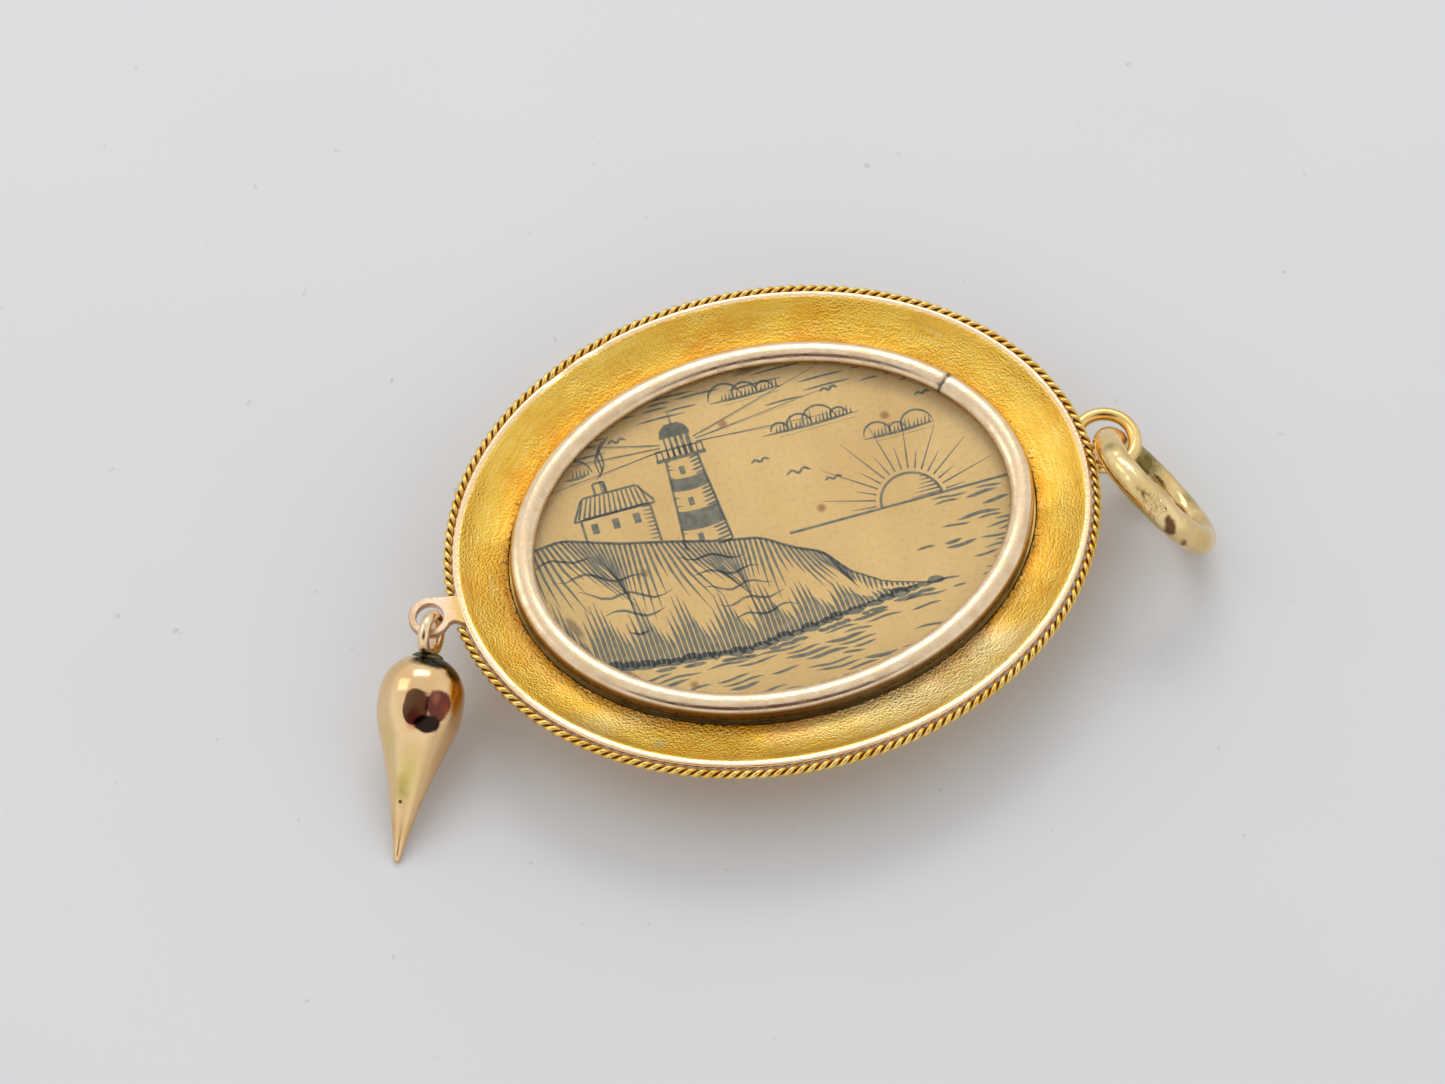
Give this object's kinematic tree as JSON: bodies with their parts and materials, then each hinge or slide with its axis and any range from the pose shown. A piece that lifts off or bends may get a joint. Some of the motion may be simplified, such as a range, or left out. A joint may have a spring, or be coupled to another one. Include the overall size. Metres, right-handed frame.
{
  "type": "glazed oval picture pendant with drop",
  "caption": "Oval glazed picture pendant with a rope-edged dished border, a pull-off glazed bezel, a hinged bail ring and a hanging drop.",
  "frame": {"origin": "centre of the flat back plate's outer face", "axes": "+X along the oval to the bail end, +Y the picture's up, +Z out of the front"},
  "size_m": [0.0531, 0.0326, 0.0088],
  "materials": {
    "satin_gold": "satin bloomed",
    "yellow_gold": "polished, worn",
    "rose_gold": "polished",
    "oxidised_solder": "dull, oxidised",
    "glass": "clear polished",
    "paper": "printed, aged",
    "card": "matte"
  },
  "bodies": {
    "case": {"front_border": "satin_gold", "rope_edging": "yellow_gold", "case_band": "satin_gold", "back_plate": "satin_gold", "card_bearer": "satin_gold", "backing_card": "card", "picture_print": "paper", "top_loop": "yellow_gold", "bottom_eyelet": "rose_gold"},
    "glazed_bezel": {"bezel_ring": "rose_gold", "bezel_collar": "satin_gold", "cover_glass": "glass"},
    "bail": {"bail_ring": "yellow_gold"},
    "drop": {"drop_dome": "rose_gold", "drop_cone": "rose_gold", "drop_cap": "oxidised_solder", "drop_loop": "yellow_gold"}
  },
  "joints": [
    {"name": "bezel_pull", "type": "slide", "parent": "case", "child": "glazed_bezel", "axis": [0, 0, 1], "range_m": [0, 0.008]},
    {"name": "bail_swing", "type": "hinge", "parent": "case", "child": "bail", "pos_m": [0.0228, -0.0017, 0.0048], "axis": [0, 1, 0], "range_deg": [0, 75]},
    {"name": "drop_swing", "type": "hinge", "parent": "case", "child": "drop", "pos_m": [-0.02145, -0.00126, 0.00547], "axis": [0.8374, -0.5066, 0.2051], "range_deg": [-135, 100]}
  ]
}
